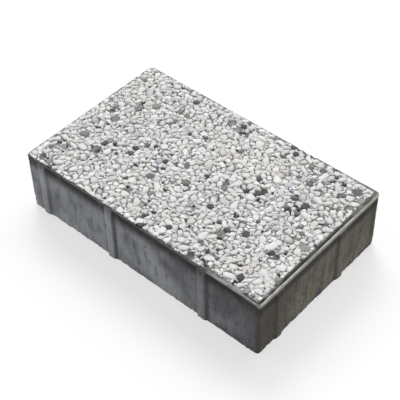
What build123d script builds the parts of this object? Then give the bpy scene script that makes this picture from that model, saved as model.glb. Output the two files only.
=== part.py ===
"""Concrete paving tile: one block of pressed concrete with an exposed-aggregate face.

Spacer ribs are cast on its four sides. They stand half as proud of the walls as the joint is
wide, which leaves play to even out the rows.

Millimetres. The origin is the centre of the underside, +X runs along the tile and +Z points up
to the face that is walked on. Left and right on a side are as seen from outside the tile.
"""

from build123d import *
import os

# Laying raster of the tile: its own size and half a joint all round
raster_length = 260.0
raster_width = 160.0
joint_width = 3.0
tile_height = 60.0

# Edges of the cast block
corner_radius = 3.5
bevel_width = 2.2
bevel_drop = 1.4

# Spacer ribs, square to the wall: broad foot, narrower crest, sloped top for laying
rib_foot_width = 11.0
rib_crest_width = 6.0
rib_crest_radius = 1.0
rib_root_depth = 4.0
laying_play = 1.5
rib_top_below_face = 2.5
rib_lead_in_height = 6.0

# Rib centres: the near rib from the left corner of its side, the far rib from the right corner
long_side_near_rib = 18.5
long_side_far_rib = 57.5
middle_rib_pitch = 80.0
short_side_near_rib = 25.0
short_side_far_rib = 52.0

# Sizes that follow from those above
block_length = raster_length - joint_width
block_width = raster_width - joint_width
rib_proud = joint_width - laying_play
rib_height = tile_height - rib_top_below_face


def cast_block() -> Part:
    """The block without its ribs: upright rounded corners and a bevel round the face."""
    outline = RectangleRounded(block_length, block_width, corner_radius)
    block = extrude(outline, amount=tile_height)
    face = block.faces().sort_by(Axis.Z)[-1]
    return chamfer(face.edges(), bevel_width, bevel_drop, reference=face)


def spacer_rib() -> Part:
    """One rib at the origin, on a wall in the plane y = 0 that faces -Y.

    The plan view gives its foot and rounded crest, and the section across the wall gives the
    slope that runs out into the wall below the face. The rib is what both outlines hold.
    """
    foot, crest = rib_foot_width / 2, rib_crest_width / 2
    plan = make_face(
        Polyline(
            (-foot, rib_root_depth),
            (-foot, 0),
            (-crest, -rib_proud),
            (crest, -rib_proud),
            (foot, 0),
            (foot, rib_root_depth),
            close=True,
        )
    )
    crest_corners = plan.vertices().group_by(Axis.Y)[0]
    plan = fillet(crest_corners, rib_crest_radius)
    section = make_face(
        Polyline(
            (rib_root_depth, 0),
            (-rib_proud, 0),
            (-rib_proud, rib_height - rib_lead_in_height),
            (0, rib_height),
            (rib_root_depth, rib_height),
            close=True,
        )
    )
    upright = extrude(plan, amount=rib_height)
    sloped = extrude(Plane.YZ * section, amount=foot, both=True)
    return upright & sloped


def ribs_on_side(side_length: float, wall_distance: float, turn: float, centres: list) -> list:
    """The ribs of one side: centres are measured from the left corner, turn is about +Z."""
    rib = spacer_rib()
    wall = Rot(0, 0, turn) * Pos(0, -wall_distance, 0)
    return [wall * Pos(centre - side_length / 2, 0, 0) * rib for centre in centres]


def paving_tile() -> Part:
    """The whole tile. Opposite sides carry the same ribs, so a half turn gives the same tile."""
    long_side = [
        long_side_near_rib,
        long_side_near_rib + middle_rib_pitch,
        block_length - long_side_far_rib,
    ]
    short_side = [short_side_near_rib, block_width - short_side_far_rib]
    ribs = []
    for half_turn in (0, 180):
        ribs += ribs_on_side(block_length, block_width / 2, half_turn, long_side)
        ribs += ribs_on_side(block_width, block_length / 2, half_turn + 90, short_side)
    return cast_block() + ribs


os.makedirs("parts", exist_ok=True)
export_step(paving_tile(), "parts/paving_tile.step")
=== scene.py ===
"""Looks of a washed concrete paving tile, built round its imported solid.

The cast block is one closed mesh with spacer ribs, a bevelled rim and a washed-out bed. The
stones that the washing laid bare are set into that bed, in one mesh for each sort and grade of
stone. Everything is in metres, in the frame of the solid: +X along the tile, +Z up. The right
end is at +X, the front at -Y, and the near corner is where the two meet.
"""

import logging
import math
from dataclasses import dataclass, field
from enum import Enum
from itertools import pairwise, product
from typing import Iterable, Sequence

import bmesh
import bpy
import numpy as np
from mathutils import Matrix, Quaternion, Vector
from mathutils.kdtree import KDTree


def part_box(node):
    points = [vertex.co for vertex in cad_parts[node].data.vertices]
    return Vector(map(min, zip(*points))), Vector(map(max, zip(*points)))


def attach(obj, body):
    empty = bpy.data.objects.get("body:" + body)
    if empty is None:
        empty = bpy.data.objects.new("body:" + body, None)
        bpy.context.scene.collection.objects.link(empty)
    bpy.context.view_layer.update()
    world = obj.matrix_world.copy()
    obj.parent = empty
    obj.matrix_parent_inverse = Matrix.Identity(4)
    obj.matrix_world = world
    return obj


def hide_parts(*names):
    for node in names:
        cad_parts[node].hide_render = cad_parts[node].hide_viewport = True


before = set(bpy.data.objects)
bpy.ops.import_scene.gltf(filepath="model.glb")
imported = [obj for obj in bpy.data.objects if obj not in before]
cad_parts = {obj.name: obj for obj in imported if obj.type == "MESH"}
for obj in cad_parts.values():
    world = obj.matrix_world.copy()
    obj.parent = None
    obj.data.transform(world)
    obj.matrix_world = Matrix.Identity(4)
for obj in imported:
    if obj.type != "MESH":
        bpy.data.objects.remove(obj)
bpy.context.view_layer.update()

log = logging.getLogger("paving_tile")

MM = 0.001
TINY = 1e-9
NODE = "paving_tile"
BODY = "root"
BAKE_MAP = "OFBake"

Colour = tuple[float, float, float]
Stretch = tuple[float, float, float]
WHITE: Colour = (1.0, 1.0, 1.0)
PLAIN: Stretch = (1.0, 1.0, 1.0)
ALONG: Stretch = (1.0, 0.0, 0.0)
ACROSS: Stretch = (0.0, 1.0, 0.0)
LEVEL: Stretch = (1.0, 1.0, 0.0)


def srgb(red: float, green: float, blue: float) -> Colour:
    """A colour picked on a screen, from 0 to 255, as the linear colour that a shader takes.

    Args:
        red: red part, 0 to 255.
        green: green part, 0 to 255.
        blue: blue part, 0 to 255.

    Returns:
        The three linear parts, 0 to 1.
    """
    full, toe, toe_slope, offset, power = 255, 0.04045, 12.92, 0.055, 2.4
    parts = (red / full, green / full, blue / full)
    return tuple(p / toe_slope if p <= toe else ((p + offset) / (1 + offset)) ** power for p in parts)


class Zone(Enum):
    """The numbers that a mesh carries at its vertices, which its finish reads."""

    WASHED = "washed"
    RIM = "rim"
    LIP = "lip"
    UNDER = "under"
    PIT = "pit"
    DEEP = "deep"
    RIB = "rib"
    SPAN = "span"
    SMEAR = "smear"
    CRUST = "crust"
    FOOT = "foot"
    TONE = "tone"


class Signal:
    """An output socket of a material. Arithmetic on it adds Math nodes to the material."""

    def __init__(self, nodes: "MaterialNodes", socket: bpy.types.NodeSocket) -> None:
        """Wraps one output socket."""
        self.nodes = nodes
        self.socket = socket

    def _maths(self, operation: str, first: "Signal | float", second: "Signal | float") -> "Signal":
        """The result of one Math node on two operands."""
        return self.nodes.add("ShaderNodeMath", {"operation": operation}, {0: first, 1: second})

    def __add__(self, other: "Signal | float") -> "Signal":
        """self + other."""
        return self._maths("ADD", self, other)

    def __radd__(self, other: float) -> "Signal":
        """other + self."""
        return self._maths("ADD", other, self)

    def __sub__(self, other: "Signal | float") -> "Signal":
        """self - other."""
        return self._maths("SUBTRACT", self, other)

    def __rsub__(self, other: float) -> "Signal":
        """other - self."""
        return self._maths("SUBTRACT", other, self)

    def __mul__(self, other: "Signal | float") -> "Signal":
        """self * other."""
        return self._maths("MULTIPLY", self, other)

    def __rmul__(self, other: float) -> "Signal":
        """other * self."""
        return self._maths("MULTIPLY", other, self)

    def between(self, low: float, high: float) -> "Signal":
        """A smooth step of this number.

        Args:
            low: where the step is 0.
            high: where the step is 1. It may be less than low.

        Returns:
            A number from 0 to 1.
        """
        return self.nodes.add(
            "ShaderNodeMapRange",
            {"interpolation_type": "SMOOTHSTEP"},
            {"Value": self, "From Min": low, "From Max": high},
        )


class MaterialNodes:
    """The nodes of one new material, and the numbers of a Mix node's colour sockets."""

    mix_first: int = 6
    mix_second: int = 7
    mix_result: int = 2

    def __init__(self, name: str) -> None:
        """Makes an empty material.

        Args:
            name: the material's name.
        """
        self.material = bpy.data.materials.new(name)
        self.material.use_nodes = True
        self.tree = self.material.node_tree
        self.tree.nodes.clear()

    @classmethod
    def of_world(cls, world: bpy.types.World) -> "MaterialNodes":
        """The same for the nodes of a world.

        Args:
            world: the world, whose nodes are cleared.

        Returns:
            Its nodes.
        """
        nodes = cls.__new__(cls)
        nodes.tree = world.node_tree
        nodes.tree.nodes.clear()
        return nodes

    def add(
        self,
        kind: str,
        settings: dict[str, object],
        inputs: dict[str | int, object],
        output: str | int = 0,
    ) -> Signal:
        """Adds one node.

        Args:
            kind: the node's type.
            settings: its properties, set first; "stops" fills a colour ramp with (place, colour).
            inputs: a value or a Signal for each socket, by name or number.
            output: the output to pass on, by name or number.

        Returns:
            That output.
        """
        node = self.tree.nodes.new(kind)
        for name, value in settings.items():
            if name == "stops":
                self._fill_ramp(node.color_ramp, value)
            else:
                setattr(node, name, value)
        for name, value in inputs.items():
            if isinstance(value, Signal):
                self.tree.links.new(value.socket, node.inputs[name])
            elif isinstance(value, tuple) and node.inputs[name].type == "RGBA":
                node.inputs[name].default_value = (*value, 1.0)
            else:
                node.inputs[name].default_value = value
        return Signal(self, node.outputs[output] if node.outputs else None)

    @staticmethod
    def _fill_ramp(ramp: bpy.types.ColorRamp, stops: Sequence[tuple[float, Colour]]) -> None:
        """Gives a colour ramp its stops.

        Args:
            ramp: the ramp, which is changed.
            stops: the place and the colour of each stop, in order.
        """
        while len(ramp.elements) < len(stops):
            ramp.elements.new(1.0)
        for element, (place, colour) in zip(ramp.elements, stops):
            element.position = place
            element.color = (*colour, 1.0)

    def coordinates(self, stretch: Stretch = PLAIN) -> Signal:
        """The place on the piece in metres, in the frame of the solid.

        Args:
            stretch: what each of its parts is multiplied by.

        Returns:
            The place, stretched.
        """
        place = self.add("ShaderNodeTexCoord", {}, {}, "Object")
        if stretch == PLAIN:
            return place
        return self.add("ShaderNodeVectorMath", {"operation": "MULTIPLY"}, {0: place, 1: stretch})

    def axes(self) -> tuple[Signal, Signal, Signal]:
        """The place along the tile, across it and up it, each as a number."""
        place = self.coordinates()
        return tuple(self.add("ShaderNodeSeparateXYZ", {}, {0: place}, axis) for axis in "XYZ")

    def noise(self, size: float, detail: float, stretch: Stretch = PLAIN) -> Signal:
        """Soft noise from 0 to 1.

        Args:
            size: about how far apart its patches lie, in metres.
            detail: how many finer octaves it has.
            stretch: what each part of the place is multiplied by.

        Returns:
            The noise.
        """
        inputs = {"Vector": self.coordinates(stretch), "Scale": 1 / size, "Detail": detail}
        return self.add("ShaderNodeTexNoise", {}, inputs)

    def grains(self, size: float, output: str = "Distance") -> Signal:
        """Grains about size metres across: the distance from their middle, or a colour for each."""
        inputs = {"Vector": self.coordinates(), "Scale": 1 / size}
        return self.add("ShaderNodeTexVoronoi", {}, inputs, output)

    def zone(self, zone: Zone) -> Signal:
        """A number that the mesh carries at each vertex."""
        return self.add("ShaderNodeAttribute", {"attribute_name": zone.value}, {}, "Fac")

    def blend(self, first: Signal | Colour, second: Signal | Colour, factor: Signal) -> Signal:
        """Mixes two colours.

        Args:
            first: the colour at factor 0.
            second: the colour at factor 1.
            factor: how much of the second. It is kept between 0 and 1.

        Returns:
            The mixed colour.
        """
        inputs = {0: factor, self.mix_first: first, self.mix_second: second}
        return self.add("ShaderNodeMix", {"data_type": "RGBA"}, inputs, self.mix_result)

    def bump(self, height: Signal, depth: float, below: Signal | None = None) -> Signal:
        """A normal bent by a height.

        Args:
            height: the relief, from 0 to 1.
            depth: how tall 1 is, in metres.
            below: a coarser bump that this one lies on.

        Returns:
            The bent normal.
        """
        inputs = {"Height": height, "Distance": depth, "Strength": 1.0}
        if below is not None:
            inputs["Normal"] = below
        return self.add("ShaderNodeBump", {}, inputs)

    def finish(self, **inputs: object) -> bpy.types.Material:
        """Adds the Principled shader and the output.

        Args:
            inputs: its sockets by name, with underscores for spaces.

        Returns:
            The finished material.
        """
        named = {name.replace("_", " "): value for name, value in inputs.items()}
        shader = self.add("ShaderNodeBsdfPrincipled", {}, named)
        self.add("ShaderNodeOutputMaterial", {}, {"Surface": shader})
        return self.material


@dataclass(frozen=True)
class Fade:
    """A smooth step over a number, such as a place along the tile, up to a share."""

    start: float
    end: float
    share: float = 1.0

    def of(self, number: Signal) -> Signal:
        """The step: 0 at the start, and the share at the end."""
        step = number.between(self.start, self.end)
        return step if self.share == 1.0 else step * self.share


@dataclass(frozen=True)
class EndFade:
    """A smooth step towards one end of an axis, by the distances from that end."""

    begins: float
    full: float
    share: float = 1.0

    def at(self, place: Signal, end: float) -> Signal:
        """The step towards an end of an axis whose middle is 0."""
        inward = -math.copysign(1.0, end)
        return Fade(end + inward * self.begins, end + inward * self.full, self.share).of(place)


@dataclass(frozen=True)
class Share:
    """How strongly a layer counts outside a zone and inside it."""

    outside: float
    inside: float

    def by(self, zone: Signal) -> Signal:
        """The share at each place, by how much of the zone there is."""
        return self.outside + (self.inside - self.outside) * zone


@dataclass(frozen=True)
class Cloud:
    """A pattern of soft patches: noise put through a smooth step from low to high, up to a share."""

    size: float
    detail: float
    low: float
    high: float
    share: float = 1.0
    stretch: Stretch = PLAIN

    def on(self, nodes: MaterialNodes) -> Signal:
        """The pattern on a material."""
        noise = nodes.noise(self.size, self.detail, self.stretch)
        return Fade(self.low, self.high, self.share).of(noise)


@dataclass(frozen=True)
class Grain:
    """Fine relief that only bends the light."""

    size: float
    detail: float
    depth: float

    def noise(self, nodes: MaterialNodes) -> Signal:
        """The grain's noise on a material."""
        return nodes.noise(self.size, self.detail)

    def bump(self, nodes: MaterialNodes, below: Signal | None = None) -> Signal:
        """The normal that the grain bends, over a coarser one if there is one."""
        return nodes.bump(self.noise(nodes), self.depth, below)


@dataclass(frozen=True)
class StoneFinish:
    """Broken stone of one sort, each chip in its own tone, with paste left at its foot."""

    tones: tuple[Colour, ...]
    fleck: Colour
    roughness: float = 0.62
    clouds: Cloud = Cloud(2.2 * MM, 3.0, 0.42, 0.75, 0.15)
    minerals: Cloud = Cloud(0.7 * MM, 2.0, 0.58, 0.68, 0.3)
    paste: Colour = srgb(148, 147, 144)
    pasted_foot: Fade = Fade(0.35, 1.0, 0.55)
    patch_size: float = 1.5 * MM
    patch_detail: float = 2.0
    patch_roughness: float = 0.2
    foot_roughness: float = 0.1
    grain: Grain = Grain(0.45 * MM, 3.0, 0.12 * MM)

    def material(self, name: str) -> bpy.types.Material:
        """A tone for each chip, clouded and flecked with minerals.

        Args:
            name: the material's name.

        Returns:
            The procedural material.
        """
        nodes = MaterialNodes(name)
        foot = nodes.zone(Zone.FOOT)
        stops = [(i / (len(self.tones) - 1), tone) for i, tone in enumerate(self.tones)]
        colour = nodes.add("ShaderNodeValToRGB", {"stops": stops}, {0: nodes.zone(Zone.TONE)})
        colour = nodes.blend(colour, self.fleck, self.clouds.on(nodes))
        colour = nodes.blend(colour, self.fleck, self.minerals.on(nodes))
        colour = nodes.blend(colour, self.paste, self.pasted_foot.of(foot))
        patches = nodes.noise(self.patch_size, self.patch_detail)
        rough = self.roughness + self.patch_roughness * patches + foot * self.foot_roughness
        return nodes.finish(Base_Color=colour, Roughness=rough, Normal=self.grain.bump(nodes))


@dataclass(frozen=True)
class WallFinish:
    """The struck walls: cloudy grey, streaked by the mould, browner on the right side.

    Clouds lie all over them. Fades run along, across or up the tile, and the last number of each
    is how strongly it counts.
    """

    half_length: float
    half_width: float
    height: float
    deep: Colour = srgb(128, 131, 136)
    pale: Colour = srgb(184, 187, 191)
    clay: Colour = srgb(163, 151, 132)
    moss: Colour = srgb(139, 138, 106)
    # Grime on the walls; the same colour also paints shade in the ribs' creases and pits and up the
    # walls.
    dirt_and_shade: Colour = srgb(60, 60, 62)
    silt: Colour = srgb(65, 60, 50)
    scrape: Colour = srgb(192, 194, 196)
    # Painted shadow under the face's edge.
    shadow_line: Colour = srgb(20, 20, 21)
    face_layer: Colour = srgb(182, 177, 166)
    side: EndFade = EndFade(3 * MM, 0.5 * MM)
    clouds: Cloud = Cloud(30 * MM, 3.0, 0.34, 0.66)
    pale_patch_from: Fade = Fade(-110 * MM, -62 * MM, 0.6)
    pale_patch_to: Fade = Fade(6 * MM, -34 * MM)
    mossy: Cloud = Cloud(13 * MM, 3.0, 0.4, 0.6)
    least_stain: float = 0.6
    stain_patches: Cloud = Cloud(8 * MM, 3.0, 0.36, 0.64, 0.4, (-1.0, 1.0, 0.6))
    streaks: Cloud = Cloud(4 * MM, 3.0, 0.5, 0.74, 0.36, (1.0, 1.0, 0.1))
    fine_streaks: Cloud = Cloud(1.5 * MM, 2.0, 0.5, 0.7, 1.0, (1.0, 1.0, 0.1))
    fine_streak_share: Share = Share(0.2, 0.45)
    pale_streaks: Cloud = Cloud(2.6 * MM, 2.0, 0.56, 0.74, 0.4, (1.0, -1.0, 0.08))
    blotches: Cloud = Cloud(7 * MM, 4.0, 0.48, 0.7, 1.0, (1.0, 1.0, 0.45))
    blotch_share: Share = Share(0.38, 0.8)
    # Darker towards the right end, and on the right side towards the front.
    darker_along: Fade = Fade(5 * MM, 85 * MM, 0.36)
    # Painted shade: the walls darken upward, so that their feet look lit by light off the floor.
    painted_shade_up: Fade = Fade(2 * MM, 44 * MM, 0.3)
    darker_by_corner: Fade = Fade(94 * MM, 124 * MM, 0.16)
    darker_right_front: Fade = Fade(-22 * MM, -66 * MM, 0.52)
    # Painted shadow at the back end of the right side, as if a neighbouring tile cast it.
    painted_shadow_right_back: Fade = Fade(56 * MM, 78 * MM, 0.4)
    rib_crests: Fade = Fade(0.3, 0.95)
    crest_scrape: Share = Share(0.45, 0.08)
    crest_soil: Fade = Fade(10 * MM, 70 * MM, 0.6)
    splashes: Cloud = Cloud(5 * MM, 2.0, 0.5, 0.6, 0.7)
    splash_height: Fade = Fade(8 * MM, 2 * MM)
    splash_along: Fade = Fade(50 * MM, 75 * MM)
    # Darker at the block's upright corners.
    corner: EndFade = EndFade(5 * MM, 1 * MM)
    corner_darkening: float = 0.7
    # Painted shade in the creases at the ribs' feet.
    least_crease_shade: float = 0.35
    crease_shade_along: Fade = Fade(-90 * MM, -40 * MM, 0.45)
    # Where the painted shadow line under the face lies, and how it is broken up.
    line: EndFade = EndFade(17 * MM, 3.5 * MM)
    right_line_from: EndFade = EndFade(16 * MM, 9 * MM)
    right_line_to: EndFade = EndFade(3.2 * MM, 5.5 * MM)
    line_lost_on_ribs: Share = Share(0.7, 0.4)
    line_lost_on_hidden_sides: float = 0.55
    least_line: float = 0.8
    line_patches: Cloud = Cloud(9 * MM, 2.0, 0.2, 0.6, 0.2)
    face_strip: EndFade = EndFade(5 * MM, 2.5 * MM, 0.7)

    def colour(self, nodes: MaterialNodes) -> tuple[Signal, Signal]:
        """Lays the walls' layers over each other.

        Args:
            nodes: the material.

        Returns:
            The walls' colour, and how much of the painted shadow line under the face there is.
        """
        along, _, up = nodes.axes()
        right = self.side.at(along, self.half_length)
        colour = self._darkened(nodes, self._streaked(nodes, right), right)
        line = self._line(nodes, right)
        uneven = self.line_patches.on(nodes) + self.least_line
        # Painted shadow line under the face.
        colour = nodes.blend(colour, self.shadow_line, line * uneven)
        strip = right * self.face_strip.at(up, self.height)
        return nodes.blend(colour, self.face_layer, strip), line

    def _streaked(self, nodes: MaterialNodes, right: Signal) -> Signal:
        """The concrete itself, its stains and the mould's streaks.

        Args:
            nodes: the material.
            right: 1 on the right side.

        Returns:
            The colour.
        """
        along = nodes.axes()[0]
        colour = nodes.blend(self.deep, self.pale, self.clouds.on(nodes))
        patch = self.pale_patch_from.of(along) * self.pale_patch_to.of(along)
        colour = nodes.blend(colour, self.pale, patch)
        stain = nodes.blend(self.clay, self.moss, self.mossy.on(nodes))
        colour = nodes.blend(colour, stain, right * (self.least_stain + self.stain_patches.on(nodes)))
        fine = self.fine_streaks.on(nodes) * self.fine_streak_share.by(right)
        colour = nodes.blend(colour, self.dirt_and_shade, self.streaks.on(nodes) + fine)
        colour = nodes.blend(colour, self.scrape, self.pale_streaks.on(nodes))
        return nodes.blend(colour, self.dirt_and_shade, self.blotches.on(nodes) * self.blotch_share.by(right))

    def _darkened(self, nodes: MaterialNodes, colour: Signal, right: Signal) -> Signal:
        """Darkens the walls in fades and at the corners, with painted shade up them and in the ribs'
        creases, and a painted shadow at the right side's back end.

        Args:
            nodes: the material.
            colour: the clean walls.
            right: 1 on the right side.

        Returns:
            The darkened walls, with scraped rib crests.
        """
        along, across, up = nodes.axes()
        darkening = nodes.blend(self.dirt_and_shade, self.silt, right)
        # Darker fades; the one up the walls is painted shade, and the one at the back of the right side
        # a painted shadow.
        amount = self.darker_along.of(along) + self.painted_shade_up.of(up)
        amount = amount + self.darker_by_corner.of(along) * (1 - right)
        amount = amount + right * (self.darker_right_front.of(across) + self.painted_shadow_right_back.of(across))
        colour = nodes.blend(colour, darkening, amount)
        crest = self.rib_crests.of(nodes.zone(Zone.RIB)) * (1 - self.crest_soil.of(along))
        colour = nodes.blend(colour, self.scrape, crest * self.crest_scrape.by(right))
        splash = self.splashes.on(nodes) * self.splash_height.of(up) * self.splash_along.of(along)
        colour = nodes.blend(colour, self.dirt_and_shade, splash)
        ends = self.corner.at(along, self.half_length) + self.corner.at(along, -self.half_length)
        sides = self.corner.at(across, self.half_width) + self.corner.at(across, -self.half_width)
        # Painted shade in the creases at the ribs' feet.
        crease_shade = nodes.zone(Zone.FOOT) * (self.least_crease_shade + self.crease_shade_along.of(along))
        return nodes.blend(colour, darkening, ends * sides * self.corner_darkening + crease_shade)

    def _line(self, nodes: MaterialNodes, right: Signal) -> Signal:
        """The painted shadow line under the face, lower on the right side and weaker where it is
        hidden.

        Args:
            nodes: the material.
            right: 1 on the right side.

        Returns:
            How much of the line there is.
        """
        along, across, up = nodes.axes()
        low = self.right_line_from.at(up, self.height) * self.right_line_to.at(up, self.height)
        line = self.line.at(up, self.height) * (1 - right) + low * right
        line = line * (1 - nodes.zone(Zone.SPAN) * self.line_lost_on_ribs.by(right))
        for hidden in (self.side.at(along, -self.half_length), self.side.at(across, self.half_width)):
            line = line * (1 - hidden * self.line_lost_on_hidden_sides)
        return line


@dataclass(frozen=True)
class ConcreteFinish:
    """The cast concrete: washed bed, pressed rim, struck walls and open-grained underside."""

    walls: WallFinish
    bed: Colour = srgb(172, 172, 170)
    # Painted shade for the deep bed between the stones and for a strip along the front edge.
    gap: Colour = srgb(50, 50, 49)
    lip: Colour = srgb(238, 236, 232)
    crust: Colour = srgb(145, 142, 147)
    under: Colour = srgb(140, 139, 134)
    sand_pale: Colour = srgb(214, 213, 207)
    sand_dark: Colour = srgb(78, 78, 80)
    right_end: EndFade = EndFade(4 * MM, 1.5 * MM)
    worn_edge: EndFade = EndFade(0.5 * MM, 0.1 * MM)
    worn_lip: float = 0.5
    grey_lip: float = 0.6
    lip_patches: Cloud = Cloud(3 * MM, 3.0, 0.25, 0.5)
    lip_breaks: Cloud = Cloud(15 * MM, 1.0, 0.3, 0.5)
    rubbed_from: Fade = Fade(-28 * MM, -20 * MM, 0.6)
    rubbed_to: Fade = Fade(6 * MM, -2 * MM)
    smear_paleness: float = 0.5
    # How much painted shade the deep bed gets, less where paste is smeared.
    gap_shade: Fade = Fade(0.3, 0.95)
    gap_shade_share: Share = Share(0.9, 0.4)
    # Painted shadow along the front edge of the face.
    front_edge_shade: EndFade = EndFade(3.4 * MM, 1.8 * MM, 0.8)
    crust_dirt: Cloud = Cloud(6 * MM, 2.0, 0.46, 0.62, 0.5)
    crust_share: float = 0.8
    sand_size: float = 1.4 * MM
    sand_grains: Fade = Fade(0.42, 0.24)
    pale_sorts: Fade = Fade(0.62, 0.68)
    dark_sorts: Fade = Fade(0.32, 0.26, 0.3)
    pale_sand_share: Share = Share(0.1, 0.34)
    # Grime and painted shade in the pits, the nicks and the groove, less on the underside.
    pits: Fade = Fade(0.1, 0.9)
    pit_share: Share = Share(0.88, 0.38)
    coarse_grain: Grain = Grain(1.6 * MM, 3.0, 0.35 * MM)
    fine_grain: Grain = Grain(0.55 * MM, 2.0, 0.16 * MM)
    roughness: Share = Share(0.93, 0.81)
    grain_polish: float = 0.06

    def material(self, name: str) -> bpy.types.Material:
        """Walls, underside, rim, bed and sand, by the zones that the block's mesh carries.

        Args:
            name: the material's name.

        Returns:
            The procedural material.
        """
        nodes = MaterialNodes(name)
        colour, line = self.walls.colour(nodes)
        colour = nodes.blend(colour, self.under, nodes.zone(Zone.UNDER))
        colour = self._bed(nodes, self._rim(nodes, colour))
        colour = self._sand(nodes, colour, line)
        polish = self.grain_polish * self.coarse_grain.noise(nodes)
        rough = self.roughness.by(nodes.zone(Zone.LIP)) - polish
        relief = self.fine_grain.bump(nodes, self.coarse_grain.bump(nodes))
        return nodes.finish(Base_Color=colour, Roughness=rough, Normal=relief)

    def _right(self, nodes: MaterialNodes) -> Signal:
        """1 at the right end of the face."""
        return self.right_end.at(nodes.axes()[0], self.walls.half_length)

    def _rim(self, nodes: MaterialNodes, colour: Signal) -> Signal:
        """Lays the worn rim over a colour: grey at the front, bright along the right end.

        Args:
            nodes: the material.
            colour: what lies below.

        Returns:
            The colour with the rim.
        """
        _, across, up = nodes.axes()
        right, rim, lip = self._right(nodes), nodes.zone(Zone.RIM), nodes.zone(Zone.LIP)
        worn = self.worn_edge.at(up, self.walls.height) + lip * self.worn_lip
        colour = nodes.blend(colour, self.bed, rim * worn)
        colour = nodes.blend(colour, self.crust, rim * lip * (1 - right) * self.grey_lip)
        rubbed = self.rubbed_from.of(across) * self.rubbed_to.of(across)
        bright = self.lip_patches.on(nodes) * self.lip_breaks.on(nodes) * (1 - rubbed)
        return nodes.blend(colour, self.lip, rim * lip * right * worn * bright)

    def _bed(self, nodes: MaterialNodes, colour: Signal) -> Signal:
        """Lays the washed bed over a colour: painted shade where it lies deep and along the front edge,
        paste left on it, and the crust.

        Args:
            nodes: the material.
            colour: what lies below.

        Returns:
            The colour with the bed.
        """
        across = nodes.axes()[1]
        washed, rim = nodes.zone(Zone.WASHED), nodes.zone(Zone.RIM)
        smear, crust = nodes.zone(Zone.SMEAR), nodes.zone(Zone.CRUST)
        bed = nodes.blend(self.bed, self.lip, smear * self.smear_paleness)
        colour = nodes.blend(colour, bed, washed)
        # Painted shade where the bed lies deep between the stones.
        deep = self.gap_shade.of(nodes.zone(Zone.DEEP))
        colour = nodes.blend(colour, self.gap, washed * deep * self.gap_shade_share.by(smear))
        # Painted shadow along the front edge, away from the right end.
        front = self.front_edge_shade.at(across, -self.walls.half_width) * (1 - self._right(nodes))
        colour = nodes.blend(colour, self.gap, front * (washed + rim) * (1 - crust))
        caked = nodes.blend(self.crust, self.walls.dirt_and_shade, self.crust_dirt.on(nodes))
        return nodes.blend(colour, caked, crust * self.crust_share)

    def _sand(self, nodes: MaterialNodes, colour: Signal, line: Signal) -> Signal:
        """Strews pale and dark sand over a colour, and fills the pits with grime and painted shade.

        Args:
            nodes: the material.
            colour: what lies below.
            line: the painted shadow line under the face, which shows no pale sand.

        Returns:
            The finished colour.
        """
        grain = self.sand_grains.of(nodes.grains(self.sand_size))
        sort = nodes.add("ShaderNodeSeparateColor", {}, {0: nodes.grains(self.sand_size, "Color")})
        pale = grain * self.pale_sorts.of(sort) * self.pale_sand_share.by(nodes.zone(Zone.WASHED))
        colour = nodes.blend(colour, self.sand_pale, pale * (1 - line))
        colour = nodes.blend(colour, self.sand_dark, grain * self.dark_sorts.of(sort))
        # Grime and painted shade in the pits, the nicks and the groove.
        pit = self.pits.of(nodes.zone(Zone.PIT)) * self.pit_share.by(nodes.zone(Zone.UNDER))
        return nodes.blend(colour, self.walls.dirt_and_shade, pit)


class Stone(Enum):
    """The sorts of stone in the face."""

    PALE = "pale_granite"
    BUFF = "buff_limestone"
    COOL = "blue_grey_granite"
    ROSE = "rose_quartzite"
    GREY = "grey_porphyry"
    DARK = "dark_basalt"


FINISHES: dict[Stone, StoneFinish] = {
    Stone.PALE: StoneFinish(
        (srgb(216, 216, 215), srgb(226, 226, 225), srgb(235, 235, 233)),
        srgb(168, 169, 170),
    ),
    Stone.BUFF: StoneFinish(
        (srgb(212, 209, 203), srgb(222, 220, 215), srgb(231, 229, 225)),
        srgb(190, 184, 171),
    ),
    Stone.COOL: StoneFinish(
        (srgb(198, 201, 204), srgb(211, 214, 217), srgb(223, 225, 228)),
        srgb(146, 151, 158),
    ),
    Stone.ROSE: StoneFinish(
        (srgb(207, 203, 203), srgb(217, 214, 213), srgb(227, 224, 223)),
        srgb(172, 162, 163),
    ),
    Stone.GREY: StoneFinish(
        (srgb(88, 89, 91), srgb(118, 119, 121), srgb(156, 155, 152)),
        srgb(74, 75, 78),
    ),
    Stone.DARK: StoneFinish(
        (srgb(32, 33, 36), srgb(44, 45, 48), srgb(66, 67, 70)),
        srgb(22, 22, 24),
        roughness=0.5,
    ),
}

SHARES: dict[Stone, float] = {
    Stone.PALE: 0.45,
    Stone.BUFF: 0.13,
    Stone.COOL: 0.16,
    Stone.ROSE: 0.09,
    Stone.GREY: 0.05,
    Stone.DARK: 0.021,
}
DARK_PLACE = list(SHARES).index(Stone.DARK)


class Relief:
    """Smooth random relief in space, the same on every run."""

    knots: int = 1024

    def __init__(self, seed: int) -> None:
        """Draws the values at the knots.

        Args:
            seed: which random relief it is.
        """
        rng = np.random.default_rng(seed)
        self.order = rng.permutation(self.knots)
        self.values = rng.uniform(-1.0, 1.0, self.knots)

    def at(self, points: np.ndarray, size: float) -> np.ndarray:
        """The relief at some points.

        Args:
            points: n by 3 places in metres.
            size: the distance over which it changes.

        Returns:
            n values from -1 to 1.
        """
        cell = points / size
        base = np.floor(cell).astype(int)
        part = cell - base
        part = part * part * (3 - 2 * part)
        total = np.zeros(len(points))
        for corner in product((0, 1), repeat=3):
            key = np.zeros(len(points), int)
            weight = np.ones(len(points))
            for axis, step in enumerate(corner):
                key = self.order[(key + base[:, axis] + step) % self.knots]
                weight = weight * (part[:, axis] if step else 1 - part[:, axis])
            total += weight * self.values[key]
        return total


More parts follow.
